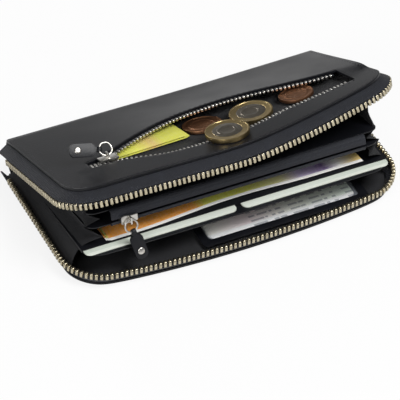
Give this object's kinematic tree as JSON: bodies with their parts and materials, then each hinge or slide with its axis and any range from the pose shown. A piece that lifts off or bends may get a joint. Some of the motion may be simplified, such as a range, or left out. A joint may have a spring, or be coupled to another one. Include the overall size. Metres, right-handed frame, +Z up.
{
  "type": "zip-around long wallet",
  "caption": "Long black leather wallet zipped round three sides, lying open, with folding inner pockets, a coin pocket in its lid, cards, notes and coins.",
  "frame": {"origin": "middle of the flat underside of the back cover", "axes": "+X along the wallet, -Y towards the mouth, +Z up through the lid"},
  "size_m": [0.1989, 0.1181, 0.0672],
  "materials": {
    "leather": "smooth polished cowhide",
    "lining": "plain woven lining",
    "zip_tape": "woven zip tape",
    "brass_zip": "pale polished brass",
    "nickel": "nickel plate",
    "copper": "worn copper plate",
    "card": "laminated card",
    "pane": "clear soft film",
    "paper_orange": "printed banknote paper",
    "paper_green": "printed banknote paper",
    "paper_violet": "printed banknote paper",
    "paper_yellow": "printed paper"
  },
  "bodies": {
    "base": {"base_cover": "leather", "base_lining": "lining", "base_zip_tape": "zip_tape", "base_zip_teeth": "brass_zip", "id_card": "card", "window_pane": "pane", "window_frame": "leather", "spine_fold": "leather", "gusset_left": "lining", "gusset_right": "lining"},
    "card_leaf": {"card_leaf": "leather", "card_pocket": "leather", "card_left": "card", "card_right": "card", "banknote_orange": "paper_orange", "banknote_green": "paper_green", "banknote_violet": "paper_violet"},
    "pocket_lower": {"pocket_leaf_lower": "leather", "inner_tape_lower": "zip_tape"},
    "pocket_upper": {"pocket_leaf_upper": "leather", "inner_tape_upper": "zip_tape"},
    "lid": {"lid_cover": "leather", "lid_lining": "lining", "lid_zip_tape": "zip_tape", "lid_zip_teeth": "brass_zip", "coin_tape_rear": "zip_tape", "coin_tape_front": "zip_tape", "coin_teeth_rear": "nickel", "coin_teeth_front": "nickel", "folded_note": "paper_yellow", "coin_bimetal_a": "nickel", "coin_bimetal_b": "nickel", "coin_copper_a": "copper", "coin_copper_b": "copper"},
    "coin_slider": {"coin_slider": "nickel"},
    "coin_pull": {"coin_ring": "nickel", "coin_tab": "leather", "coin_rivet": "nickel"},
    "inner_slider": {"inner_slider": "nickel"},
    "inner_pull": {"inner_ring": "nickel", "inner_tab": "leather", "inner_rivet": "nickel"},
    "main_slider": {"main_slider": "brass_zip"},
    "main_pull": {"main_ring": "brass_zip", "main_tab": "leather", "main_rivet": "brass_zip"}
  },
  "joints": [
    {"name": "lid_fold", "type": "hinge", "parent": "base", "child": "lid", "pos_m": [0, 0.055, 0.01], "axis": [-1, 0, 0], "range_deg": [-20, 12], "deforming": ["gusset_left", "gusset_right", "spine_fold", "inner_tape_upper", "inner_tape_lower"]},
    {"name": "card_leaf_fold", "type": "hinge", "parent": "base", "child": "card_leaf", "pos_m": [0, 0.055, 0.01], "axis": [-1, 0, 0], "range_deg": [-6.4, 5.8]},
    {"name": "lower_leaf_fold", "type": "hinge", "parent": "base", "child": "pocket_lower", "pos_m": [0, 0.055, 0.01], "axis": [-1, 0, 0], "range_deg": [-11.1, 6.7]},
    {"name": "upper_leaf_fold", "type": "hinge", "parent": "pocket_lower", "child": "pocket_upper", "pos_m": [0, 0.055, 0.01], "axis": [-1, 0, 0], "range_deg": [-3.3, 2]},
    {"name": "coin_slide", "type": "slide", "parent": "lid", "child": "coin_slider", "axis": [1, 0, 0], "range_m": [0, 0.055]},
    {"name": "coin_pull_swing", "type": "hinge", "parent": "coin_slider", "child": "coin_pull", "pos_m": [-0.06, -0.01039, 0.04848], "axis": [1, 0, 0], "range_deg": [-25, 40]},
    {"name": "inner_slide", "type": "slide", "parent": "pocket_lower", "child": "inner_slider", "axis": [1, 0, 0], "range_m": [0, 0.11]},
    {"name": "inner_pull_turn", "type": "hinge", "parent": "inner_slider", "child": "inner_pull", "pos_m": [-0.063, -0.04621, 0.03084], "axis": [0, -0.9336, 0.3584], "range_deg": [-52, 86]},
    {"name": "main_slide", "type": "slide", "parent": "base", "child": "main_slider", "axis": [0, -1, 0], "range_m": [0, 0.06]},
    {"name": "main_pull_swing", "type": "hinge", "parent": "main_slider", "child": "main_pull", "pos_m": [0.0993, 0.0395, 0.01], "axis": [0, -1, 0], "range_deg": [-4, 60]}
  ],
  "couplings": [
    {"joint": "card_leaf_fold", "follows": "lid_fold", "ratio": 0.3165},
    {"joint": "lower_leaf_fold", "follows": "lid_fold", "ratio": 0.5504},
    {"joint": "upper_leaf_fold", "follows": "lid_fold", "ratio": 0.1605},
    {"joint": "inner_pull_turn", "follows": "lid_fold", "ratio": -4.25}
  ]
}
